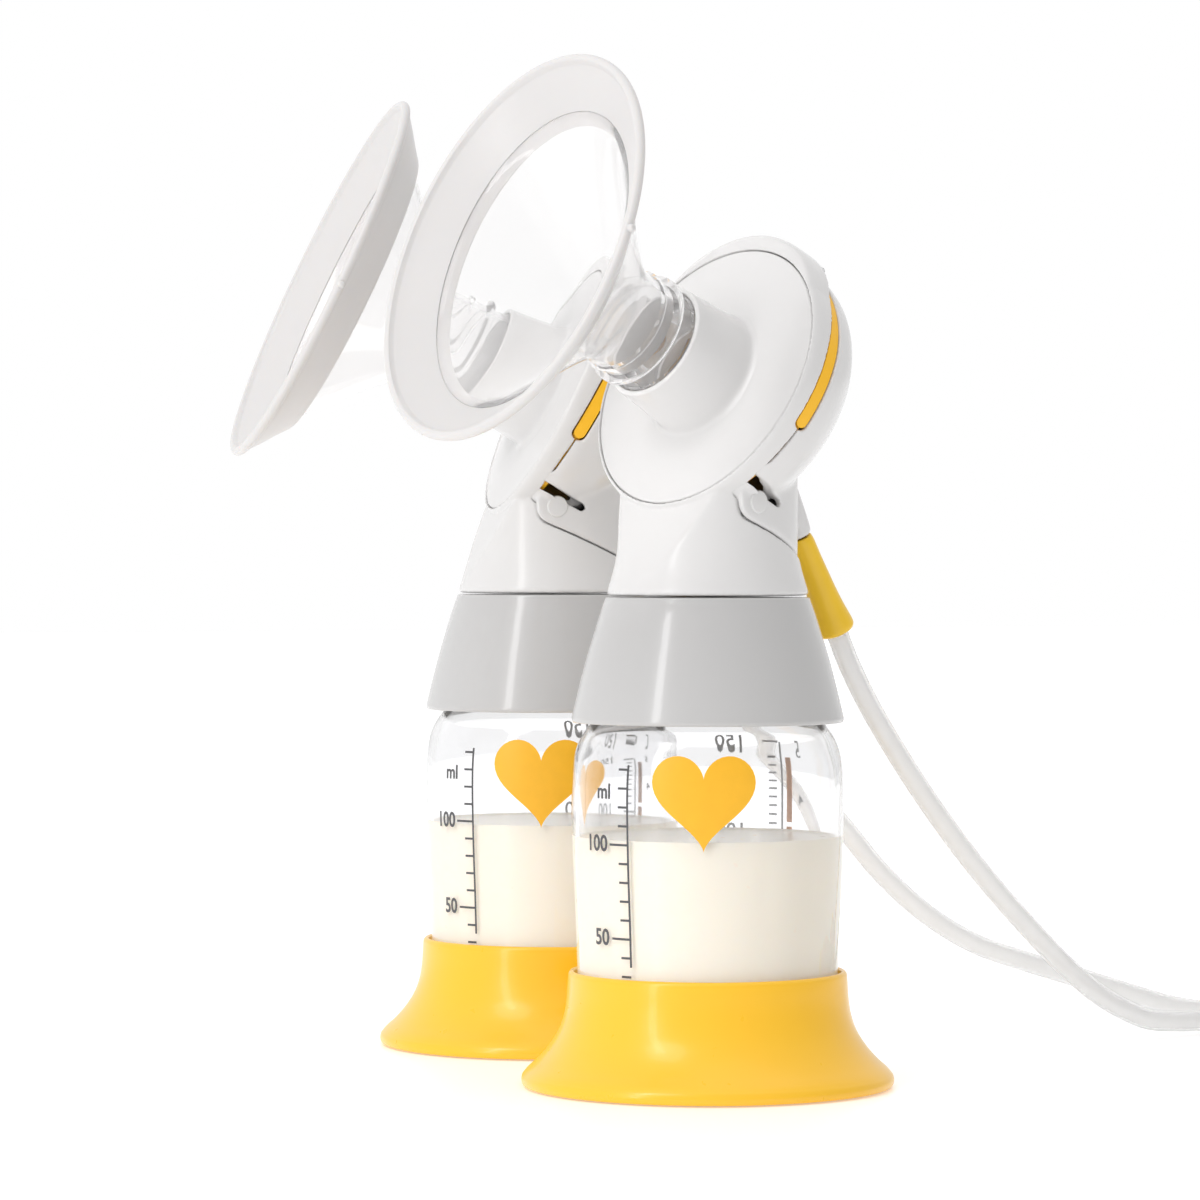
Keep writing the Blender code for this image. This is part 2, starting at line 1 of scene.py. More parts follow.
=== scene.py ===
"""Looks of the double breast pump set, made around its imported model.

Both units are one design.  Each of their pieces is shaped in the unit's own frame (millimetres,
bottle's axis along Z, shield towards -Y) and then placed twice.
"""
import math

import bmesh
import bpy
from mathutils import Matrix, Vector


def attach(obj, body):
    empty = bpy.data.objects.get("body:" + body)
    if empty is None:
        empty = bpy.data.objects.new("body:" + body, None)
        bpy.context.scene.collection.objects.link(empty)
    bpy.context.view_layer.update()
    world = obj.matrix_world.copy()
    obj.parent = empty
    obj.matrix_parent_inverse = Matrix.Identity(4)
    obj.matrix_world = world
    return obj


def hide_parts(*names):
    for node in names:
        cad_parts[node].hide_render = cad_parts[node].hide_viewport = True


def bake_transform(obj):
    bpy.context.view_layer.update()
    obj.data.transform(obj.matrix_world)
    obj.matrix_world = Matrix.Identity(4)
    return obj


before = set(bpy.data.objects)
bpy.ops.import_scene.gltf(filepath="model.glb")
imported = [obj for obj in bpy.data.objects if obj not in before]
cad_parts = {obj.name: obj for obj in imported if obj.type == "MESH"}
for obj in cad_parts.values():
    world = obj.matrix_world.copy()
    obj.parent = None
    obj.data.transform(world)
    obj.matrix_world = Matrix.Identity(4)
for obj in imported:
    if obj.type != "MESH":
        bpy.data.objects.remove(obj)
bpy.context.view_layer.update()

MM = 0.001
ORIGIN = Vector((0.00547, -0.01687, 0.0))
UNIT_HALF_SPACING = 48.0
TOES = {"right": 19.7, "left": -7.8}
ROLLS = {"right": 9.0, "left": 0.0}
FACE_TILT, COVER_TILT, PORT_TILT = 25.3, 29.3, 28.13
FACE_CENTRE = Vector((0.0, -1.1, 157.5))
SEAM_DEPTH = 6.0
PORT_END = Vector((0.0, 28.5, 121.9))
LATCH_PIVOT = Vector((0.0, 33.0, -9.0))
WINDOW_LOW, WINDOW_HIGH = -20.0, 57.0
WINDOW_CUT = (1.75, 30.6, 37.0, 1.0)
CRESCENT_TAPER = 42.0
HUMP_RISE = 8.0
SLOT_CENTRE, SLOT_TILT = (0.0, -2.3, 131.7), -27.6
ADAPTER_LENGTH = 24.6
TUBE_WIDTH, TUBE_BORE_RADIUS = 0.005, 0.0015
SIDES = ("right", "left")
LOOK = (-0.9285, 0.3714, 0.0)
LENS_SHIFT = -1.0 / 30.0


# ------------------------------------------------------------------------------- frames
def turn(degrees, axis):
    return Matrix.Rotation(math.radians(degrees), 4, axis)


def shift(place):
    return Matrix.Translation(place)


def in_metres(matrix):
    """The same frame, for coordinates given in millimetres."""
    return matrix @ Matrix.Scale(MM, 4)


SEAM_BACK = Vector((0.0, math.cos(math.radians(FACE_TILT)), -math.sin(math.radians(FACE_TILT))))
FACE = shift(FACE_CENTRE) @ turn(90.0 - FACE_TILT, "X")
REAR = shift(FACE_CENTRE + SEAM_BACK * SEAM_DEPTH) @ turn(90.0 - COVER_TILT, "X")
PORT = shift(PORT_END) @ turn(PORT_TILT, "X")
LATCH = REAR @ shift(LATCH_PIVOT)
HUMP = FACE @ shift((0.0, HUMP_RISE, 0.0))
SLOT = shift(SLOT_CENTRE) @ turn(SLOT_TILT, "X")
UNITS = {}
for side, sign in (("right", 1.0), ("left", -1.0)):
    centre = Vector((sign * UNIT_HALF_SPACING * MM, 0.0, 0.0)) - ORIGIN
    UNITS[side] = in_metres(shift(centre) @ turn(TOES[side], "Z"))


# ------------------------------------------------------------------------------- camera
def make_camera():
    lens = bpy.data.cameras.new("camera")
    lens.lens = 135.0
    lens.sensor_width = 36.0
    lens.shift_y = LENS_SHIFT
    lens.clip_start = 0.05
    lens.clip_end = 30.0
    camera = bpy.data.objects.new("camera", lens)
    bpy.context.scene.collection.objects.link(camera)
    camera.location = (0.9621, -0.3767, 0.1165)
    camera.rotation_euler = Vector(LOOK).to_track_quat("-Z", "Y").to_euler()
    bpy.context.scene.camera = camera


# ---------------------------------------------------------------------------- materials
MOTTLE_SCALE = 320.0


def material(name, colour, roughness, **look):
    """A moulded surface: slight colour mottling, uneven gloss and a fine bump.

    look may give mottle, bump, bump_scale, transmission, ior, subsurface, coat, glow and lamps,
    which lets lamps shine through a clear piece.
    """
    made = bpy.data.materials.new(name)
    made.use_nodes = True
    nodes, links = made.node_tree.nodes, made.node_tree.links
    shader = nodes["Principled BSDF"]
    shader.inputs["IOR"].default_value = look.get("ior", 1.48)
    shader.inputs["Transmission Weight"].default_value = look.get("transmission", 0.0)
    shader.inputs["Coat Weight"].default_value = look.get("coat", 0.0)
    shader.inputs["Coat Roughness"].default_value = 0.08
    shader.inputs["Subsurface Weight"].default_value = look.get("subsurface", 0.0)
    shader.inputs["Subsurface Radius"].default_value = (1.0, 0.75, 0.5)
    shader.inputs["Subsurface Scale"].default_value = 0.002
    shader.inputs["Emission Color"].default_value = (*colour, 1.0)
    shader.inputs["Emission Strength"].default_value = look.get("glow", 0.0)
    place = nodes.new("ShaderNodeTexCoord")

    mottle = look.get("mottle", 0.04)
    cloud = nodes.new("ShaderNodeTexNoise")
    cloud.inputs["Scale"].default_value = MOTTLE_SCALE
    cloud.inputs["Detail"].default_value = 3.0
    links.new(place.outputs["Object"], cloud.inputs["Vector"])
    mix = nodes.new("ShaderNodeMix")
    mix.data_type = "RGBA"
    mix.inputs[6].default_value = (*[c * (1.0 - mottle) for c in colour], 1.0)
    mix.inputs[7].default_value = (*[min(1.0, c * (1.0 + mottle)) for c in colour], 1.0)
    links.new(cloud.outputs["Fac"], mix.inputs[0])
    links.new(mix.outputs[2], shader.inputs["Base Color"])

    gloss = nodes.new("ShaderNodeMapRange")
    gloss.inputs["To Min"].default_value = roughness * 0.95
    gloss.inputs["To Max"].default_value = roughness * 1.05
    links.new(cloud.outputs["Fac"], gloss.inputs["Value"])
    links.new(gloss.outputs["Result"], shader.inputs["Roughness"])

    grain = nodes.new("ShaderNodeTexNoise")
    grain.inputs["Scale"].default_value = look.get("bump_scale", 900.0)
    grain.inputs["Detail"].default_value = 2.0
    links.new(place.outputs["Object"], grain.inputs["Vector"])
    bump = nodes.new("ShaderNodeBump")
    bump.inputs["Strength"].default_value = look.get("bump", 0.05)
    bump.inputs["Distance"].default_value = 0.0002
    links.new(grain.outputs["Fac"], bump.inputs["Height"])
    links.new(bump.outputs["Normal"], shader.inputs["Normal"])

    if look.get("lamps"):
        path = nodes.new("ShaderNodeLightPath")
        through = nodes.new("ShaderNodeBsdfTransparent")
        through.inputs["Color"].default_value = (0.93, 0.93, 0.93, 1.0)
        either = nodes.new("ShaderNodeMixShader")
        links.new(path.outputs["Is Shadow Ray"], either.inputs[0])
        links.new(shader.outputs[0], either.inputs[1])
        links.new(through.outputs[0], either.inputs[2])
        links.new(either.outputs[0], nodes["Material Output"].inputs["Surface"])
    return made


YELLOW = material("yellow_plastic", (0.99, 0.56, 0.022), 0.28, bump=0.03, mottle=0.008, coat=0.2)
CLEAR = material(
    "clear_plastic", (0.98, 0.98, 0.985), 0.03, transmission=1.0, ior=1.40, mottle=0.008,
    bump=0.02, bump_scale=160.0, lamps=True,
)
SHIELD = material(
    "shield_plastic", (0.975, 0.97, 0.97), 0.05, transmission=0.90, ior=1.15, mottle=0.008,
    bump=0.005, bump_scale=60.0, coat=0.5, lamps=True,
)
# The milk's glow is painted light: the milk gives off a little light of its own, so that it shows brighter
# than the lamps make it.
MILK = material("milk", (0.97, 0.905, 0.80), 0.28, subsurface=0.25, mottle=0.01, bump=0.02, glow=0.12)
GREY = material("grey_plastic", (0.52, 0.513, 0.51), 0.23, bump=0.02, mottle=0.005, coat=0.5)
WHITE = material("white_plastic", (0.72, 0.71, 0.706), 0.24, bump=0.03, mottle=0.006, coat=0.15)
SOFT = material("soft_rim", (0.675, 0.66, 0.655), 0.32, subsurface=0.15, bump=0.03, mottle=0.006)
FROSTED = material(
    "frosted_plastic", (0.86, 0.86, 0.86), 0.30, transmission=0.7, mottle=0.02, lamps=True,
)
SILICONE = material("yellow_silicone", (0.97, 0.52, 0.015), 0.40, bump=0.08, mottle=0.03)
RUBBER = material("yellow_rubber", (0.93, 0.58, 0.022), 0.34, bump=0.08, mottle=0.03, coat=0.15)
TUBING = material(
    "clear_tubing", (0.96, 0.955, 0.95), 0.22, transmission=0.72, ior=1.22, mottle=0.015,
    bump=0.01, bump_scale=300.0, coat=0.3, lamps=True,
)
INK_YELLOW = material("yellow_ink", (0.92, 0.48, 0.02), 0.40, mottle=0.05)
INK_GREY = material("grey_ink", (0.085, 0.085, 0.09), 0.45, mottle=0.10)
INK_PALE = material("pale_ink", (0.42, 0.42, 0.43), 0.45, mottle=0.10)
INK_ORANGE = material("orange_ink", (0.80, 0.45, 0.28), 0.45, mottle=0.08)


# --------------------------------------------------------------------------- mesh tools
def rounded(points, steps=5):
    """An outline whose points may carry a third number: how far back each corner is cut."""
    count = len(points)
    made = []
    for i, point in enumerate(points):
        here = Vector(point[:2])
        cut = point[2] if len(point) > 2 else 0.0
        if not cut:
            made.append(tuple(here))
            continue
        before = Vector(points[i - 1][:2]) - here
        after = Vector(points[(i + 1) % count][:2]) - here
        a = here + before.normalized() * min(cut, before.length * 0.49)
        b = here + after.normalized() * min(cut, after.length * 0.49)
        for k in range(steps + 1):
            t = k / steps
            made.append(tuple(a * (1 - t) ** 2 + here * (2 * t * (1 - t)) + b * t ** 2))
    return made


def spline(points, steps=6):
    """A smooth curve through points of any dimension."""
    points = [Vector(p) for p in points]
    ends = [points[0] * 2.0 - points[1]] + points + [points[-1] * 2.0 - points[-2]]
    made = []
    for a, b, c, d in zip(ends, ends[1:], ends[2:], ends[3:]):
        slope_b, slope_c = (c - a) * 0.5, (d - b) * 0.5
        for i in range(steps):
            t = i / steps
            made.append(
                b * (2 * t ** 3 - 3 * t ** 2 + 1) + slope_b * (t ** 3 - 2 * t ** 2 + t)
                + c * (3 * t ** 2 - 2 * t ** 3) + slope_c * (t ** 3 - t ** 2)
            )
    made.append(points[-1])
    return [tuple(p) for p in made]


def skin(rings, closed_along=False):
    """A mesh over rings of points; a ring of one point is a pole."""
    form = bmesh.new()
    loops = [[form.verts.new(p) for p in ring] for ring in rings]
    pairs = list(zip(loops, loops[1:]))
    if closed_along:
        pairs.append((loops[-1], loops[0]))
    for low, high in pairs:
        count = max(len(low), len(high))
        for i in range(count):
            j = (i + 1) % count
            if len(low) == 1 and len(high) == 1:
                continue
            if len(low) == 1:
                form.faces.new((low[0], high[j], high[i]))
            elif len(high) == 1:
                form.faces.new((low[i], low[j], high[0]))
            else:
                form.faces.new((low[i], low[j], high[j], high[i]))
    if not closed_along:
        for loop in (loops[0], loops[-1]):
            if len(loop) > 2:
                form.faces.new(loop)
    bmesh.ops.recalc_face_normals(form, faces=form.faces)
    mesh = bpy.data.meshes.new("shape")
    form.to_mesh(mesh)
    form.free()
    return mesh


def lathe(outline, steps=128, ring=False):
    """A body turned about Z; the outline is a list of (radius, height)."""
    rings = []
    for r, z in outline:
        if r < 1e-6:
            rings.append([(0.0, 0.0, z)])
            continue
        rings.append([
            (r * math.cos(math.tau * i / steps), r * math.sin(math.tau * i / steps), z)
            for i in range(steps)
        ])
    return skin(rings, closed_along=ring)


def bent_bar(low_r, high_r, half_height, start, stop, steps=48):
    """A bar bent round Z from one angle to another (degrees), round below and tapered on top."""
    rings = []
    end_turn = math.degrees(half_height / high_r)
    for i in range(steps + 1):
        share = 0.5 - 0.5 * math.cos(math.pi * i / steps)
        angle = start + (stop - start) * share
        near = min(angle - start, stop - angle) / end_turn
        half = half_height * (math.sqrt(1.0 - (1.0 - near) ** 2) if near < 1.0 else 1.0)
        high_end = (stop - angle) if stop < 90.0 else (angle - start)
        half = max(half * min(1.0, (high_end / CRESCENT_TAPER) ** 0.7), 0.08)
        x, y = math.cos(math.radians(angle)), math.sin(math.radians(angle))
        rings.append([
            (low_r * x, low_r * y, -half), (high_r * x, high_r * y, -half),
            (high_r * x, high_r * y, half), (low_r * x, low_r * y, half),
        ])
    return skin(rings)


def prism(outline, low, high, axis="X"):
    """A flat outline pulled out along X (points are y, z) or along Z (points are x, y)."""
    if axis == "X":
        return skin([[(x, y, z) for y, z in outline] for x in (low, high)])
    return skin([[(x, y, z) for x, y in outline] for z in (low, high)])


def moved(mesh, matrix):
    mesh.transform(matrix)
    return mesh


def temporary(mesh):
    obj = bpy.data.objects.new("temporary", mesh)
    bpy.context.scene.collection.objects.link(obj)
    return obj


def evaluated(obj):
    """The object's final mesh; the object itself is removed."""
    bpy.context.view_layer.update()
    graph = bpy.context.evaluated_depsgraph_get()
    mesh = bpy.data.meshes.new_from_object(obj.evaluated_get(graph))
    bpy.data.objects.remove(obj, do_unlink=True)
    return mesh


def carve(base, *steps):
    """base after a chain of (operation, mesh)."""
    obj = temporary(base)
    others = []
    for operation, mesh in steps:
        other = temporary(mesh)
        others.append(other)
        modifier = obj.modifiers.new("boolean", "BOOLEAN")
        modifier.operation = operation
        modifier.object = other
        modifier.solver = "EXACT"
    mesh = evaluated(obj)
    for other in others:
        bpy.data.objects.remove(other, do_unlink=True)
    return mesh


def melt(mesh, voxel, smoothing):
    """One smooth skin over mesh: remeshed at voxel millimetres and then relaxed."""
    obj = temporary(mesh)
    remesh = obj.modifiers.new("remesh", "REMESH")
    remesh.mode = "VOXEL"
    remesh.voxel_size = voxel
    remesh.adaptivity = 0.0
    relax = obj.modifiers.new("relax", "SMOOTH")
    relax.factor = 0.5
    relax.iterations = smoothing
    return evaluated(obj)


def joined(*meshes):
    """One mesh of several closed shells."""
    form = bmesh.new()
    for mesh in meshes:
        form.from_mesh(mesh)
    whole = bpy.data.meshes.new("joined")
    form.to_mesh(whole)
    form.free()
    return whole


def piece(name, mesh, matrix, look, body, slot, *nodes):
    """A finished piece that rides on body and stands for the named CAD nodes."""
    mesh = mesh.copy()
    mesh.name = name
    mesh.transform(matrix)
    mesh.materials.clear()
    mesh.materials.append(look)
    mesh.shade_smooth()
    mesh.set_sharp_from_angle(angle=math.radians(40.0))
    obj = bpy.data.objects.new(name, mesh)
    bpy.context.scene.collection.objects.link(obj)
    if body:
        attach(obj, body)
    if nodes:
        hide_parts(*nodes)
    return obj


# ------------------------------------------------------------------------------- cords
# The routes of part.py, in its frame before the origin shift, metres.
ROUTES = {
    "right": [
        (0.03509, 0.03607, 0.10356), (0.03426, 0.03837, 0.09897), (0.03315, 0.04148, 0.09280),
        (0.03108, 0.04726, 0.08360), (0.02811, 0.05555, 0.07260), (0.02454, 0.06553, 0.06070),
        (0.02049, 0.07682, 0.04860), (0.01648, 0.08803, 0.03790), (0.01244, 0.09933, 0.02800),
        (0.00873, 0.10968, 0.01960), (0.00502, 0.12004, 0.01240), (0.00131, 0.13039, 0.00720),
        (-0.00240, 0.14075, 0.00400), (-0.00910, 0.16060, 0.00270),
        (-0.01100, 0.16800, 0.00270), (-0.01180, 0.17350, 0.00270),
    ],
    "left": [
        (-0.04280, 0.03796, 0.10356), (-0.04247, 0.04038, 0.09897), (-0.04202, 0.04365, 0.09280),
        (-0.04108, 0.05053, 0.08180), (-0.04005, 0.05806, 0.07060), (-0.03899, 0.06579, 0.05980),
        (-0.03782, 0.07431, 0.04940), (-0.03660, 0.08322, 0.03890), (-0.03511, 0.09412, 0.02920),
        (-0.03341, 0.10651, 0.02160), (-0.03151, 0.12038, 0.01660), (-0.02961, 0.13425, 0.01230),
        (-0.02778, 0.14762, 0.00800), (-0.02608, 0.16001, 0.00440), (-0.02445, 0.17189, 0.00290),
        (-0.02380, 0.18450, 0.00270), (-0.02370, 0.19600, 0.00270), (-0.02400, 0.20750, 0.00270),
    ],
}
COIL_CENTRES = {"right": (0.0187, 0.1910), "left": (-0.0540, 0.2260)}
COIL_STARTS = {"right": (180.0, -1.0), "left": (0.0, 1.0)}
PLUG_ANGLES = {"right": 20.0, "left": 80.0}
OUTER_TURN, INNER_TURN, PLUG_REACH = 30.0, 25.0, 38.1
LOWER_LAYER, UPPER_LAYER, PLUG_HEIGHT = 2.7, 7.8, 4.7
WHOLE_TURNS = 3
PEEL = 75.0
INWARD, CLIMB, OUTWARD = (300.0, 360.0), (620.0, 690.0), (930.0, 985.0)


def ease(value, start, stop):
    t = min(1.0, max(0.0, (value - start) / (stop - start)))
    return t * t * (3.0 - 2.0 * t)


def coil_points(side):
    """The coiled length, a little over three turns.

    An outer and an inner turn lie on the floor, and an inner and an outer one on top of them.
    """
    start, way = COIL_STARTS[side]
    total = (way * (PLUG_ANGLES[side] - start)) % 360.0 + 360.0 * WHOLE_TURNS
    made = []
    count = round(total / 6.0)
    for i in range(count + 1):
        gone = total * i / count
        radius = OUTER_TURN
        radius += (INNER_TURN - OUTER_TURN) * ease(gone, *INWARD)
        radius += (OUTER_TURN - INNER_TURN) * ease(gone, *OUTWARD)
        radius += (PLUG_REACH - OUTER_TURN) * ease(gone, total - PEEL, total)
        height = LOWER_LAYER + (UPPER_LAYER - LOWER_LAYER) * ease(gone, *CLIMB)
        height += (PLUG_HEIGHT - UPPER_LAYER) * ease(gone, total - PEEL, total)
        angle = math.radians(start + way * gone)
        x, y = COIL_CENTRES[side]
        made.append(Vector((
            x + radius * MM * math.cos(angle), y + radius * MM * math.sin(angle), height * MM,
        )))
    angle = math.radians(PLUG_ANGLES[side])
    along = Vector((-math.sin(angle), math.cos(angle), 0.0)) * way
    inside = [made[-1] + along * (d * MM) for d in (3.0, 6.0, 9.0)]
    return made + inside


def tube_path(side):
    loose = [Vector(p) for p in ROUTES[side]]
    whole = [Vector(p) for p in spline(loose + coil_points(side), 5)]
    return [p - ORIGIN for p in whole]


def sweep(path, outer, inner, sides=16):
    """A tube of the given radii along path, its wall closed at both ends."""
    rings = []
    normal = Vector((1.0, 0.0, 0.0))
    for i, here in enumerate(path):
        along = (path[min(i + 1, len(path) - 1)] - path[max(i - 1, 0)]).normalized()
        normal = (normal - along * normal.dot(along)).normalized()
        rings.append((here, normal.copy(), along.cross(normal)))
    loops = []
    for radius, order in ((outer, rings), (inner, rings[::-1])):
        for here, x, y in order:
            loops.append([
                here + (x * math.cos(a) + y * math.sin(a)) * radius
                for a in (math.tau * k / sides for k in range(sides))
            ])
    return skin(loops, closed_along=True)


def make_tubes():
    """Each tube, from its adapter to its pump plug, as one mesh."""
    tubes = {}
    for side in SIDES:
        path = tube_path(side)
        mesh = sweep(path, TUBE_WIDTH / 2.0, TUBE_BORE_RADIUS)
        tube = piece(
            f"{side}_air_tube", mesh, Matrix.Identity(4), TUBING, None, "clear_tubing",
            f"{side}_tube", f"{side}_tube_coil",
        )
        tubes[side] = (tube, path)
    return tubes


def declare_tubes(tubes):
    for side, (tube, path) in tubes.items():
        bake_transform(tube)


def make_plug():
    """The ribbed plug on the tube's far end, in its own frame."""
    outline = [
        (1.0, 22.0, 0.3), (2.2, 22.0, 0.4), (2.7, 15.2, 0.3), (4.0, 14.8, 0.5), (4.6, 14.0, 0.5),
    ]
    for i in range(5):
        top = 13.0 - i * 1.3
        outline += [
            (4.6, top, 0.25), (4.15, top - 0.35, 0.2), (4.15, top - 0.75, 0.2), (4.6, top - 1.1, 0.25),
        ]
    outline += [(4.6, 1.0, 0.6), (4.0, 0.0, 0.5), (2.75, 0.0, 0.2), (2.75, 10.0), (1.0, 10.4)]
    return lathe(rounded(outline), 64, ring=True)


def plug_frame(side):
    angle = math.radians(PLUG_ANGLES[side])
    x, y = COIL_CENTRES[side]
    reach = PLUG_REACH * MM
    place = Vector((x + reach * math.cos(angle), y + reach * math.sin(angle), PLUG_HEIGHT * MM))
    roll = 90.0 if side == "right" else -90.0
    turned = shift(place - ORIGIN) @ Matrix.Rotation(angle, 4, "Z") @ turn(roll, "X")
    return in_metres(turned)


# ------------------------------------------------------------------ stand, bottle, milk
STAND_OUTLINE = rounded(
    [
        (0.0, 11.2), (27.6, 11.2, 1.2), (29.6, 13.6, 1.2), (29.6, 25.2, 0.35), (30.25, 25.5, 0.3),
        (30.95, 24.9, 0.5),
    ]
    + spline([
        (31.1, 22.6), (31.35, 19.0), (31.9, 15.6), (33.1, 12.2), (35.2, 8.8), (37.7, 5.9),
        (40.0, 3.8), (41.2, 2.4),
    ], 4)
    + [(41.5, 1.3, 0.5), (41.1, 0.1, 0.5), (40.2, 0.0, 0.3), (38.7, 0.0, 0.3)]
    + spline([(38.2, 1.4), (36.4, 3.4), (34.2, 5.9), (32.4, 8.0)], 4)
    + [(31.2, 8.7, 0.5), (0.0, 8.7)]
)
BOTTLE_WALL = spline([
    (28.75, 20.0), (29.0, 27.0), (29.35, 37.0), (29.85, 48.0), (30.15, 58.0), (30.2, 65.0),
    (29.95, 70.5), (29.2, 74.6), (27.7, 77.8), (25.4, 80.8), (22.5, 83.2), (20.1, 85.4),
], 5)
BOTTLE_BORE = spline([
    (18.2, 85.6), (20.6, 83.0), (23.6, 80.4), (25.9, 77.6), (27.6, 74.0), (28.45, 70.0),
    (28.75, 65.0), (28.72, 58.0), (28.45, 48.0), (27.95, 37.0), (27.6, 27.0), (27.35, 20.0),
], 5)[::-1]
BOTTLE_OUTLINE = rounded(
    [(0.0, 13.0), (23.4, 13.0, 1.5), (26.7, 16.4, 1.5)] + BOTTLE_BORE
    + [(18.1, 97.4, 0.3), (18.6, 97.8, 0.2), (19.4, 97.8, 0.3), (19.6, 97.2), (19.6, 86.2)]
    + BOTTLE_WALL[::-1]
    + [(27.9, 14.4, 1.6), (24.4, 11.6, 1.0), (22.0, 12.2, 0.8), (0.0, 12.4)]
)


def radius_at(line, height):
    """The radius at a height, along a line of (radius, height) points that goes upwards."""
    for (r0, z0), (r1, z1) in zip(line, line[1:]):
        if z0 <= height <= z1:
            return r0 + (r1 - r0) * (height - z0) / (z1 - z0)
    return line[0][0]


def milk_outline(level):
    """The milk wets the wall and climbs it a little, so it reaches just into the wall."""
    wet = 0.1
    heights = [level + 0.5 - i * (level - 19.5) / 12.0 for i in range(13)]
    side = [(radius_at(BOTTLE_BORE, h) + wet, h) for h in heights]
    edge = radius_at(BOTTLE_BORE, level)
    top = [(0.0, level), (edge - 2.2, level), (edge - 0.7, level + 0.15)]
    return top + side + [(26.9, 16.6, 1.0), (23.3, 12.95, 1.0), (0.0, 12.95)]


MILK_LEVELS = {"right": 55.0, "left": 53.4}


def make_bottles():
    stand = lathe(STAND_OUTLINE, 160)
    bottle = lathe(BOTTLE_OUTLINE, 160)
    for side in SIDES:
        unit, body = UNITS[side], f"{side}_bottle"
        piece(
            f"{side}_stand_shell", stand, unit, YELLOW, f"{side}_stand", "yellow_plastic",
            f"{side}_stand",
        )
        piece(f"{side}_bottle_shell", bottle, unit, CLEAR, body, "clear_plastic", f"{side}_bottle")
        milk = lathe(rounded(milk_outline(MILK_LEVELS[side])), 160)
        piece(f"{side}_milk_fill", milk, unit, MILK, body, "milk", f"{side}_milk")


# ---------------------------------------------------------------- print on the bottles
FILM_GAP, FILM_THICKNESS = 0.03, 0.06
HUNDRED_HEIGHT, FIFTY_STEP = 54.6, 20.5
OUNCE_BASE, OUNCE_STEP = 13.6, 12.1
FRONT_TOP_MARK = 73.0


def flat_mesh(curve_object):
    bpy.context.scene.collection.objects.link(curve_object)
    return evaluated(curve_object)


def text_mesh(words, size, bold):
    curve = bpy.data.curves.new("words", "FONT")
    curve.body = words
    curve.size = size
    curve.offset = bold
    curve.align_x = "CENTER"
    curve.align_y = "CENTER"
    curve.resolution_u = 3
    return flat_mesh(bpy.data.objects.new("words", curve))


def outline_mesh(points):
    curve = bpy.data.curves.new("outline", "CURVE")
    curve.dimensions = "2D"
    curve.fill_mode = "BOTH"
    line = curve.splines.new("POLY")
    line.points.add(len(points) - 1)
    for slot, (x, y) in zip(line.points, points):
        slot.co = (x, y, 0.0, 1.0)
    line.use_cyclic_u = True
    return flat_mesh(bpy.data.objects.new("outline", curve))


def wrapped(meshes, angle):
    """Flat meshes (mesh, x, y) bent onto the bottle's outside, x along its round and y up.

    angle is where x = 0 lies, in the unit's frame; the print is a thin closed film.
    """
    form = bmesh.new()
    for mesh, x, y in meshes:
        mesh.transform(shift((x, y, 0.0)))
        form.from_mesh(mesh)
    bmesh.ops.remove_doubles(form, verts=form.verts, dist=0.01)
    bmesh.ops.triangulate(form, faces=form.faces)
    for _ in range(5):
        long = [e for e in form.edges if e.calc_length() > 1.6]
        if not long:
            break
        bmesh.ops.subdivide_edges(form, edges=long, cuts=1)
        bmesh.ops.triangulate(form, faces=form.faces)
    for vert in form.verts:
        radius = radius_at(BOTTLE_WALL, vert.co.y) + FILM_GAP
        around = math.radians(angle) + vert.co.x / radius
        vert.co = (radius * math.cos(around), radius * math.sin(around), vert.co.y)
    bmesh.ops.recalc_face_normals(form, faces=form.faces)
    for face in form.faces:
        centre = face.calc_center_median()
        if face.normal.dot(Vector((centre.x, centre.y, 0.0))) < 0.0:
            face.normal_flip()
    mesh = bpy.data.meshes.new("print")
    form.to_mesh(mesh)
    form.free()
    obj = temporary(mesh)
    film = obj.modifiers.new("film", "SOLIDIFY")
    film.thickness = FILM_THICKNESS
    film.offset = 1.0
    return evaluated(obj)


def heart(width):
    """A plain heart, point down."""
    points = []
    for i in range(64):
        t = math.tau * i / 64
        x = 16.0 * math.sin(t) ** 3
        y = 13.0 * math.cos(t) - 5.0 * math.cos(2 * t) - 2.0 * math.cos(3 * t) - math.cos(4 * t)
        points.append((x * width / 32.0, y * width / 32.0))
    return points


def box_outline(width, height):
    w, h = width / 2.0, height / 2.0
    return [(-w, -h), (w, -h), (w, h), (-w, h)]


def mark_height(millilitres):
    return HUNDRED_HEIGHT + (millilitres - 100.0) * FIFTY_STEP / 50.0


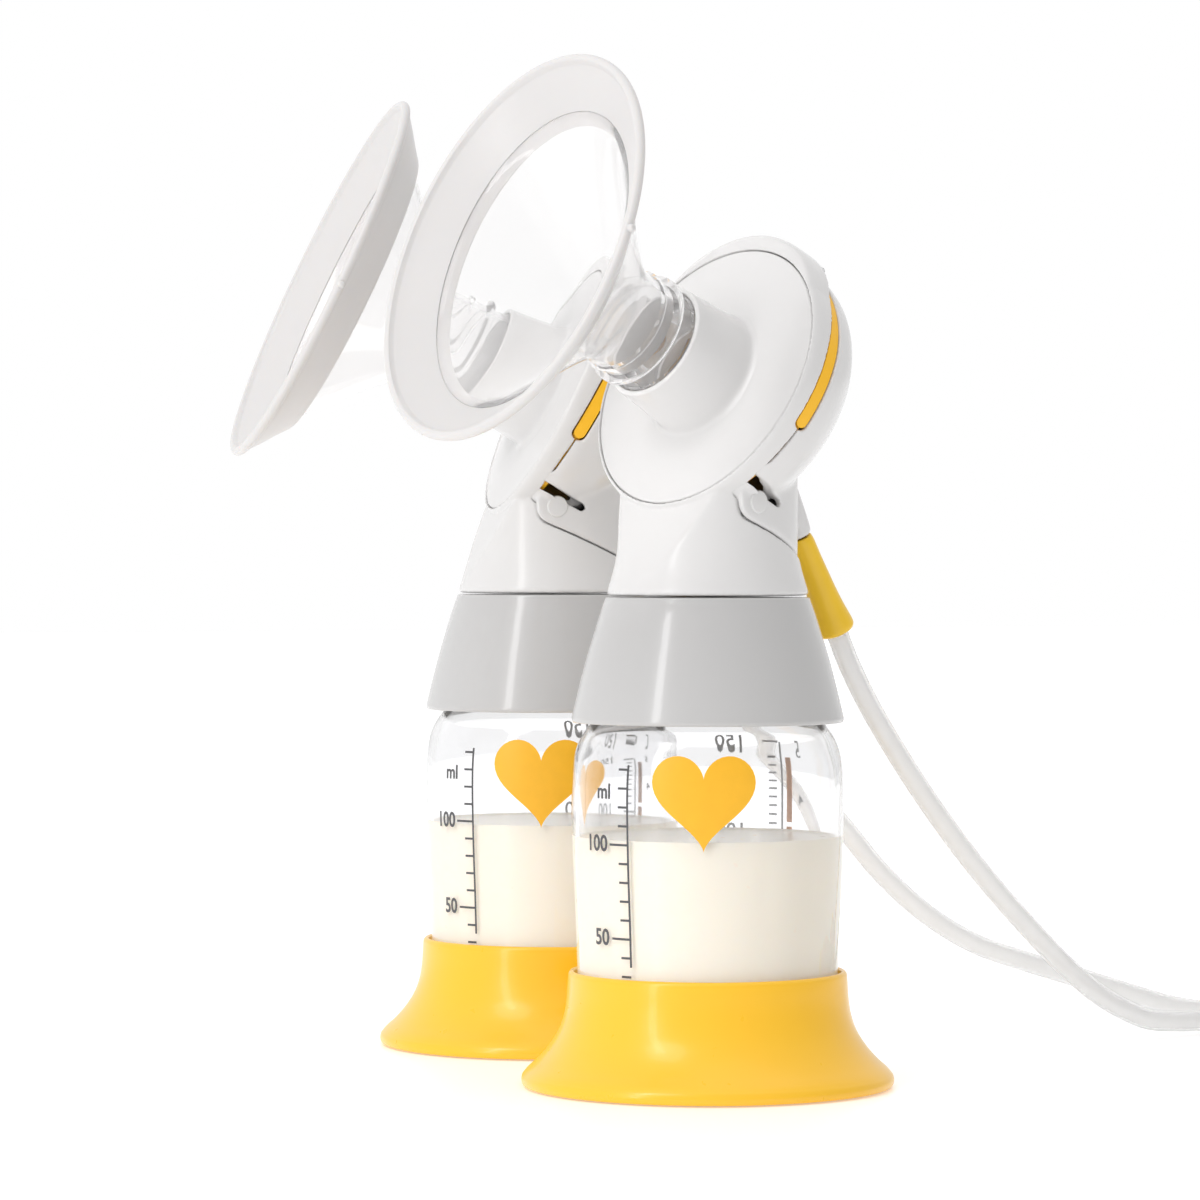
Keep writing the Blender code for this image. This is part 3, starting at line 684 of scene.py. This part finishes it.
def make_prints():
    """A heart in front, a dark scale at the left, and a pale scale on the far side."""
    for side in SIDES:
        facing = math.degrees(math.atan2(-LOOK[1], -LOOK[0])) - TOES[side]
        if side == "left":
            facing -= 1.0
        unit, body = UNITS[side], f"{side}_bottle"
        emblem = wrapped([(outline_mesh(heart(23.0)), 0.0, 65.6)], facing - 3.0)
        piece(f"{side}_heart_print", emblem, unit, INK_YELLOW, body, "yellow_plastic")

        marks = []
        for amount in range(20, 151, 10):
            height = mark_height(amount)
            width = 5.2 if amount % 50 == 0 else 2.6
            if height < FRONT_TOP_MARK:
                marks.append((outline_mesh(box_outline(width, 0.5)), 5.0 - width / 2.0, height))
        marks.append((outline_mesh(box_outline(0.5, 44.0)), 5.0, 50.0))
        front = facing - 46.0
        scale = wrapped(marks, front)
        piece(f"{side}_scale_marks", scale, unit, INK_GREY, body, "grey_plastic")
        for words, height, x, size in (
            ("100", 54.6, -4.6, 5.0), ("50", 34.1, -3.6, 5.0), ("ml", 66.0, -2.0, 4.6),
        ):
            figure = wrapped([(text_mesh(words, size, 0.10), x, height)], front)
            piece(f"{side}_front_{words}", figure, unit, INK_GREY, body, "grey_plastic")

        behind = facing + 180.0 - 22.0
        pale = []
        for amount in range(20, 151, 5):
            height = mark_height(amount)
            if 26.0 < height < 76.0:
                width = 4.2 if amount % 50 == 0 else 2.2
                pale.append((outline_mesh(box_outline(width, 0.45)), 0.0, height))
        pale.append((outline_mesh(box_outline(0.5, 46.0)), -2.6, 52.0))
        piece(
            f"{side}_back_marks", wrapped(pale, behind - 10.0), unit, INK_PALE, body, "grey_plastic",
        )
        for words in ("150", "100"):
            height = mark_height(float(words))
            figure = wrapped([(text_mesh(words, 5.0, 0.05), 0.0, height)], behind + 10.0)
            piece(f"{side}_back_{words}", figure, unit, INK_PALE, body, "grey_plastic")
        bars = []
        for low, high in ((29.0, 42.0), (43.0, 56.0), (57.0, 73.0)):
            bars.append((outline_mesh(box_outline(1.6, high - low)), 0.0, (low + high) / 2.0))
        piece(
            f"{side}_back_bars", wrapped(bars, behind - 19.0), unit, INK_ORANGE, body, "grey_plastic",
        )
        for ounce in range(2, 6):
            height = OUNCE_BASE + ounce * OUNCE_STEP
            figure = wrapped([(text_mesh(str(ounce), 3.6, 0.03), 0.0, height)], behind - 26.0)
            piece(f"{side}_ounce_{ounce}", figure, unit, INK_PALE, body, "grey_plastic")


# -------------------------------------------------------------------- collar
COLLAR_OUTLINE = rounded(
    [(17.3, 108.3), (22.3, 108.3, 0.2), (22.75, 108.1, 0.3)]
    + spline([(22.95, 107.4), (24.0, 104.4), (25.5, 99.6), (27.1, 94.2), (28.8, 87.6), (30.1, 82.2)], 4)
    + [
        (30.3, 81.2, 0.4), (30.05, 80.5, 0.3), (28.7, 80.5, 0.3), (25.5, 94.0), (22.9, 101.4),
        (22.4, 87.0), (20.9, 87.0), (20.9, 98.4), (17.3, 98.4),
    ]
)


def make_collars():
    collar = lathe(COLLAR_OUTLINE, 160, ring=True)
    for side in SIDES:
        piece(
            f"{side}_collar_ring", collar, UNITS[side], GREY, "pump_heads", "grey_plastic",
            f"{side}_collar",
        )


# ------------------------------------------------------------------- housing and cover
def arc(centre, radius, start, stop, steps):
    return [
        (
            centre[0] + radius * math.cos(math.radians(start + (stop - start) * i / steps)),
            centre[1] + radius * math.sin(math.radians(start + (stop - start) * i / steps)),
        )
        for i in range(steps + 1)
    ]


def horseshoe(radius, front):
    """From above: a half circle behind the axis with straight arms forward."""
    return arc((0.0, 0.0), radius, 0.0, 180.0, 64) + [(-radius, front), (radius, front)]


def chin_outline(grow):
    """Side view of the cover's lower part, with its rounded lug at the front."""
    lug = arc((-3.8, 129.5), 4.5 + grow, 250.0, 140.0, 16)
    lower = [(34.0, 108.4 - grow), (12.0, 117.7 - grow)]
    return lower + lug + [(-6.9 - grow, 134.9), (-3.1 - grow, 141.9), (6.0, 150.0), (34.0, 152.0)]


def windows(half_height, low_r, high_r, spare):
    """The two bent bars of the head's side windows, in the rear frame."""
    made = []
    for flip in (False, True):
        start, stop = WINDOW_LOW - spare, WINDOW_HIGH + spare
        if flip:
            start, stop = 180.0 - stop, 180.0 - start
        made.append(bent_bar(low_r, high_r, half_height, start, stop))
    return made


def housing_mesh():
    neck = lathe(
        spline([
            (20.05, 136.0), (19.8, 128.0), (19.85, 123.0), (20.1, 119.0), (20.6, 115.8),
            (21.3, 113.0), (22.1, 110.4), (22.65, 108.6),
        ], 4)
        + [(16.5, 108.6), (16.5, 136.0)], 128, ring=True,
    )
    core = lathe([(0.0, 136.0), (17.5, 136.0), (17.5, 108.7), (0.0, 108.7)], 96)
    front = moved(prism(box_outline(120.0, 120.0), -0.9, 40.0, "Z"), FACE)
    head = moved(
        lathe([(0.0, -1.2), (31.4, -1.2), (32.3, -2.2), (32.6, -4.0), (32.6, -24.0), (0.0, -24.0)]),
        FACE,
    )
    hump = moved(
        lathe([(0.0, -0.9), (26.6, -0.9), (27.6, -1.8), (28.0, -4.0), (28.0, -24.0), (0.0, -24.0)]),
        HUMP,
    )
    blend = carve(
        neck, ("UNION", core), ("DIFFERENCE", front), ("UNION", head), ("UNION", hump),
    )
    blend = melt(blend, 0.55, 14)
    rim = moved(
        lathe(rounded([(0.0, 0.2), (31.95, 0.2, 0.5), (32.6, -1.2, 1.2), (32.55, -6.0), (0.0, -6.0)])),
        FACE,
    )
    brow = moved(
        lathe(rounded([(0.0, 0.0), (27.3, 0.0, 0.9), (28.0, -2.4, 1.5), (27.9, -6.0), (0.0, -6.0)])),
        HUMP,
    )
    behind = prism(
        [(34.6, 209.3), (-7.14, 134.9), (-6.5, 134.9), (-6.5, 126.2), (60.0, 126.2), (60.0, 209.3)],
        -40.0, 40.0,
    )
    low_behind = prism([(-7.0, 135.2), (-12.02, 126.2), (-6.3, 126.2), (-6.3, 135.2)], -14.5, 14.5)
    sink = prism(
        [(-12.0, 126.3), (-8.5, 124.1), (22.0, 124.1), (22.0, 126.4), (-11.9, 126.4)], -13.0, 13.0,
    )
    dome = moved(
        lathe([(0.0, 0.05), (32.9, 0.05), (32.9, -2.5), (31.9, -6.1), (29.7, -9.7), (26.3, -13.3),
               (21.2, -16.4), (13.1, -18.8), (0.0, -19.8)]), REAR,
    )
    pocket = carve(
        prism(chin_outline(0.25), -40.0, 40.0),
        ("DIFFERENCE", prism(horseshoe(18.0, -30.0), 100.0, 160.0, "Z")),
    )
    chamber = moved(
        lathe([(0.0, 5.0), (31.55, 5.0), (31.55, -2.1), (29.6, -2.1), (29.6, -24.0), (0.0, -24.0)]),
        FACE,
    )
    seat = moved(lathe([(0.0, 1.5), (31.5, 1.5), (31.5, -5.0), (0.0, -5.0)]), REAR)
    bore = lathe([(0.0, 121.8), (11.6, 121.8), (14.6, 119.2), (14.6, 90.0), (0.0, 90.0)], 96)
    cuts = [("UNION", rim), ("UNION", brow), ("DIFFERENCE", behind),
            ("DIFFERENCE", low_behind), ("DIFFERENCE", pocket), ("DIFFERENCE", chamber),
            ("DIFFERENCE", seat), ("DIFFERENCE", bore), ("DIFFERENCE", sink), ("DIFFERENCE", dome)]
    for bar in windows(*WINDOW_CUT):
        cuts.append(("DIFFERENCE", moved(bar, REAR)))
    return melt(carve(blend, *cuts), 0.33, 3)


def cover_mesh():
    dome_line = spline([
        (32.6, -2.2), (31.6, -6.0), (29.4, -9.6), (26.0, -13.0), (21.0, -16.1), (13.0, -18.5),
        (0.0, -19.5),
    ], 5)
    dome = moved(lathe([(0.0, 3.0), (32.6, 3.0), (32.6, -0.1)] + dome_line), REAR)
    chin = carve(
        prism(chin_outline(0.0), -40.0, 40.0),
        ("INTERSECT", prism(horseshoe(20.0, -12.0), 100.0, 160.0, "Z")),
        ("DIFFERENCE", prism(horseshoe(18.3, -30.0), 90.0, 170.0, "Z")),
    )
    port = moved(
        lathe([(0.0, 27.0), (4.6, 26.0), (3.5, 12.0), (3.2, 4.0), (2.9, 0.4), (2.6, 0.0), (0.0, 0.0)], 64),
        PORT,
    )
    web = prism([(18.8, 120.8), (26.4, 124.4), (23.4, 133.0), (18.8, 141.0)], -3.0, 3.0)
    post = moved(
        prism([(-4.5, 23.9), (4.5, 23.9), (4.5, 32.9), (-4.5, 32.9)], -10.7, -7.3, "Z"), REAR
    )
    whole = carve(dome, ("UNION", chin), ("UNION", port), ("UNION", web), ("UNION", post))
    whole = melt(whole, 0.5, 9)
    ahead = moved(prism(box_outline(120.0, 120.0), -0.12, 30.0, "Z"), REAR)
    below = prism([(-60.0, 90.0), (60.0, 90.0), (60.0, 137.6), (-60.0, 137.6)], -50.0, 50.0)
    ahead = carve(ahead, ("DIFFERENCE", below))
    hollow = moved(
        lathe([(0.0, 1.0), (31.4, 1.0), (31.4, -1.5), (30.9, -2.6), (29.9, -5.4), (27.8, -8.5),
               (24.7, -11.8), (20.0, -14.5), (12.4, -16.6), (0.0, -17.6)]), REAR,
    )
    bore = moved(
        lathe([(0.0, 34.0), (1.2, 34.0), (1.2, 9.0), (1.7, 8.4), (1.7, -1.0), (0.0, -1.0)], 32), PORT,
    )
    slot = moved(
        prism([(-7.0, -0.95), (6.0, -0.95), (6.9, 0.0), (6.0, 0.95), (-7.0, 0.95)], -30.0, 30.0),
        SLOT,
    )
    keep = prism([(-20.0, 111.7), (20.0, 111.7), (20.0, 151.7), (-20.0, 151.7)], -16.5, 16.5)
    slot = carve(slot, ("DIFFERENCE", keep))
    cuts = [("DIFFERENCE", ahead), ("DIFFERENCE", hollow), ("DIFFERENCE", bore), ("DIFFERENCE", slot)]
    for bar in windows(*WINDOW_CUT):
        cuts.append(("DIFFERENCE", moved(bar, REAR)))
    bosses = []
    for x in (-19.2, 19.2):
        disc = lathe(rounded([(0.0, 1.15), (2.45, 1.15, 0.35), (2.7, 0.0), (0.0, 0.0)]), 48)
        bosses.append(moved(disc, shift((x, -3.3, 129.2)) @ turn(math.copysign(90.0, x), "Y")))
    return joined(melt(carve(whole, *cuts), 0.33, 3), *bosses)


def make_heads():
    housing, cover = housing_mesh(), cover_mesh()
    plate = moved(lathe(rounded(
        [(12.3, 16.8, 0.25), (12.85, 17.0, 0.25), (13.4, 16.7, 0.35)]
        + spline([(13.55, 14.0), (14.0, 8.0), (14.4, 3.6), (14.65, 1.6), (15.1, 0.6), (16.2, 0.05)], 4)
        + [(31.0, 0.0, 0.3), (31.3, -0.3, 0.2), (31.3, -1.8), (10.0, -1.8), (10.0, 4.2), (12.3, 4.2)]
    ), 160, ring=True), FACE)
    for side in SIDES:
        unit = UNITS[side]
        for name, mesh, body, node in (
            ("head_shell", housing, "pump_heads", "housing"),
            ("cover_shell", cover, f"{side}_cover", "cover"),
            ("face_disc", plate, "pump_heads", "face_plate"),
        ):
            piece(f"{side}_{name}", mesh, unit, WHITE, body, "white_plastic", f"{side}_{node}")


def make_membranes():
    bowl = moved(lathe(rounded([
        (0.0, -6.4), (20.0, -4.4, 2.0), (28.4, 1.1, 0.5), (31.2, 1.1, 0.3), (31.2, -1.1, 0.3),
        (28.4, -1.1, 0.5), (19.6, -5.5, 2.0), (0.0, -7.4),
    ])), REAR)
    edges = []
    for bar in windows(1.4, 30.0, 32.2, 0.0):
        edges.append(("UNION", moved(bar, REAR)))
    nubs = []
    for x in (-18.4, 18.4):
        nub = moved(
            prism(box_outline(2.2, 1.6), -1.0, 1.0),
            shift((x, -7.3, 134.3)) @ turn(SLOT_TILT, "X"),
        )
        nubs.append(nub)
    whole = joined(carve(bowl, *edges), *nubs)
    for side in SIDES:
        piece(
            f"{side}_membrane_skin", whole, UNITS[side], SILICONE, "pump_heads", "yellow_silicone",
            f"{side}_membrane",
        )


def make_latches():
    plate = moved(prism(box_outline(14.0, 9.4), -1.0, 1.0, "Z"), turn(90.0, "X"))
    obj = temporary(plate)
    edge = obj.modifiers.new("edge", "BEVEL")
    edge.width = 0.7
    edge.segments = 4
    plate = moved(evaluated(obj), turn(10.0, "X"))
    plate = moved(plate, LATCH @ shift((0.0, 1.6, 4.2)))
    for side in SIDES:
        piece(
            f"{side}_latch_plate", plate, UNITS[side], FROSTED, f"{side}_latch_tab", "frosted_plastic",
            f"{side}_latch_tab",
        )


# ----------------------------------------------------------------------- breast shields
OVAL_STEPS = 144
LIP_HEIGHT, LIP_BEAD = 61.75, 1.15


def oval_skin(section):
    """A closed skin over ovals; section lists (height, half along Y, half along X)."""
    rings = []
    for height, high, wide in section:
        rings.append([
            (wide * math.cos(angle), high * math.sin(angle), height)
            for angle in (math.tau * i / OVAL_STEPS for i in range(OVAL_STEPS))
        ])
    return skin(rings, closed_along=True)


def make_shields():
    outside = spline([
        (24.0, 11.5, 11.5), (28.0, 11.5, 11.5), (31.0, 11.9, 11.8), (33.5, 13.2, 12.6),
        (36.0, 15.4, 13.9), (40.0, 19.3, 16.5), (46.0, 25.8, 20.8), (51.0, 31.3, 24.3),
        (55.6, 36.3, 27.5),
    ], 5)
    inside = spline([
        (55.85, 36.2, 27.4), (54.4, 33.8, 25.5), (51.0, 29.9, 22.9), (46.0, 24.4, 19.4),
        (40.0, 17.9, 15.1), (36.0, 14.0, 12.5), (33.5, 11.8, 11.2), (31.0, 10.5, 10.4),
        (28.0, 10.1, 10.1), (24.0, 10.0, 10.0),
    ], 5)
    stem = [
        (4.8, 11.6), (5.2, 12.0), (16.8, 12.0), (17.1, 11.6), (20.9, 11.5), (21.1, 12.9),
        (21.4, 13.2), (22.3, 13.2), (22.6, 12.9), (22.9, 11.5), (25.6, 11.5), (25.9, 12.2),
        (26.6, 12.2), (26.9, 11.5),
    ]
    outer = [(height, r, r) for height, r in stem] + [p for p in outside if p[0] > 27.5]
    funnel = oval_skin(outer + inside + [(4.8, 10.0, 10.0)])
    front = spline([(55.85, 36.3, 27.5), (58.2, 39.7, 30.5), (60.4, 42.9, 33.3), (61.75, 44.75, 34.9)], 5)
    lip = []
    for i in range(13):
        angle = math.radians(128.0 - 20.0 * i)
        height, out = LIP_HEIGHT + LIP_BEAD * math.sin(angle), LIP_BEAD * math.cos(angle)
        lip.append((height, 45.85 + out, 35.95 + out))
    back = spline([(60.1, 44.95, 35.1), (58.0, 42.3, 32.8), (56.0, 39.6, 30.4), (54.4, 37.5, 28.6),
                   (53.4, 36.3, 27.6)], 4)
    grip = [
        (53.0, 35.6, 27.1), (52.85, 35.0, 26.7), (52.95, 34.4, 26.3), (53.3, 34.0, 26.1),
        (55.5, 36.35, 27.6),
    ]
    rim = oval_skin(front + lip + back + grip)
    nub = lathe(rounded([(0.0, 1.3, 0.0), (0.75, 1.2, 0.5), (1.0, 0.0), (0.0, 0.0)]), 24)
    around = math.radians(-5.0)
    place = Vector((37.05 * math.cos(around), 46.95 * math.sin(around), LIP_HEIGHT))
    nub = moved(nub, shift(place - Vector((0.3, 0.0, 0.0))) @ turn(90.0, "Y"))
    for side in SIDES:
        matrix = UNITS[side] @ FACE @ turn(ROLLS[side], "Z")
        body = f"{side}_shield"
        piece(
            f"{side}_shield_cone", funnel, matrix, SHIELD, body, "clear_plastic",
            f"{side}_shield_funnel",
        )
        piece(f"{side}_shield_lip", rim, matrix, SOFT, body, "soft_rim", f"{side}_shield_rim")
        piece(f"{side}_shield_nub", nub, matrix, SOFT, body, "soft_rim")


# --------------------------------------------------------------- adapters, valves, plugs
def make_adapters():
    outline = rounded([
        (1.6, -0.3), (2.55, -0.3, 0.25), (2.8, -1.6, 0.4), (2.95, -6.0), (3.35, -13.0),
        (3.75, -18.0, 3.0), (4.45, -22.6, 1.2), (4.5, -23.8, 0.5), (3.95, -ADAPTER_LENGTH, 0.5),
        (2.62, -ADAPTER_LENGTH, 0.2), (2.62, -12.0), (0.9, -11.6), (0.9, -7.4), (1.6, -6.6),
    ])
    sleeve = moved(lathe(outline, 96, ring=True), PORT)
    for side in SIDES:
        piece(
            f"{side}_adapter_sleeve", sleeve, UNITS[side], RUBBER, f"{side}_tube_adapter",
            "yellow_rubber", f"{side}_tube_adapter",
        )


def make_plugs():
    plug = make_plug()
    made = {}
    for side in SIDES:
        made[side] = piece(
            f"{side}_plug", plug, plug_frame(side), RUBBER, "pump_heads", "yellow_rubber",
            f"{side}_pump_plug",
        )
    return made


def dress_valves():
    """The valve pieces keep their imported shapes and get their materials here."""
    for side in SIDES:
        for node, look in (("valve_seat", WHITE), ("valve_flap", SILICONE)):
            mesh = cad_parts[f"{side}_{node}"].data
            mesh.materials.clear()
            mesh.materials.append(look)


# --------------------------------------------------------------------- floor and lights
FLOOR_HEIGHT = -0.0003
LAMP_TARGET = Vector((0.0, 0.0, 0.12))


def make_studio():
    scene = bpy.context.scene
    scene.view_settings.view_transform = "Standard"
    floor_mesh = bpy.data.meshes.new("floor")
    corners = [(x, y, FLOOR_HEIGHT) for x, y in box_outline(12.0, 12.0)]
    floor_mesh.from_pydata(corners, [], [(0, 1, 2, 3)])
    floor = bpy.data.objects.new("floor", floor_mesh)
    scene.collection.objects.link(floor)
    paper = material("floor_paper", (0.90, 0.90, 0.90), 0.35, mottle=0.004, bump=0.0, glow=0.30)
    floor_mesh.materials.append(paper)

    world = bpy.data.worlds.new("studio")
    scene.world = world
    world.use_nodes = True
    nodes, links = world.node_tree.nodes, world.node_tree.links
    back = nodes["Background"]
    back.inputs["Strength"].default_value = 1.0
    place = nodes.new("ShaderNodeTexCoord")
    dot = nodes.new("ShaderNodeVectorMath")
    dot.operation = "DOT_PRODUCT"
    dot.inputs[1].default_value = (-0.62, -0.45, 0.45)
    links.new(place.outputs["Generated"], dot.inputs[0])
    ramp = nodes.new("ShaderNodeMapRange")
    ramp.inputs["From Min"].default_value = -0.9
    ramp.inputs["From Max"].default_value = 0.4
    ramp.inputs["To Min"].default_value = 0.36
    ramp.inputs["To Max"].default_value = 0.98
    links.new(dot.outputs["Value"], ramp.inputs["Value"])
    seen = nodes.new("ShaderNodeLightPath")
    pick = nodes.new("ShaderNodeMix")
    pick.data_type = "FLOAT"
    links.new(seen.outputs["Is Camera Ray"], pick.inputs[0])
    links.new(ramp.outputs["Result"], pick.inputs[2])
    pick.inputs[3].default_value = 1.0
    links.new(pick.outputs[0], back.inputs["Color"])

    lamp = bpy.data.lights.new("key", "SUN")
    lamp.energy = 0.35
    lamp.angle = math.radians(25.0)
    key = bpy.data.objects.new("key", lamp)
    key.rotation_euler = Vector((-0.30, 0.62, -0.85)).to_track_quat("-Z", "Y").to_euler()
    scene.collection.objects.link(key)
    for name, place_at, size, power in (
        ("left_box", (0.35, -0.75, 0.45), (0.11, 0.9), 1.8),
        ("top_box", (0.1, 0.1, 0.9), (0.7, 0.7), 0.4),
    ):
        lamp = bpy.data.lights.new(name, "AREA")
        lamp.shape = "RECTANGLE"
        lamp.size, lamp.size_y = size
        lamp.energy = power
        box = bpy.data.objects.new(name, lamp)
        box.location = place_at
        aim = LAMP_TARGET - Vector(place_at)
        box.rotation_euler = aim.to_track_quat("-Z", "Y").to_euler()
        scene.collection.objects.link(box)


make_camera()
TUBES = make_tubes()
PLUGS = make_plugs()
declare_tubes(TUBES)
make_bottles()
make_prints()
make_collars()
make_heads()
make_membranes()
make_latches()
make_shields()
make_adapters()
dress_valves()
make_studio()
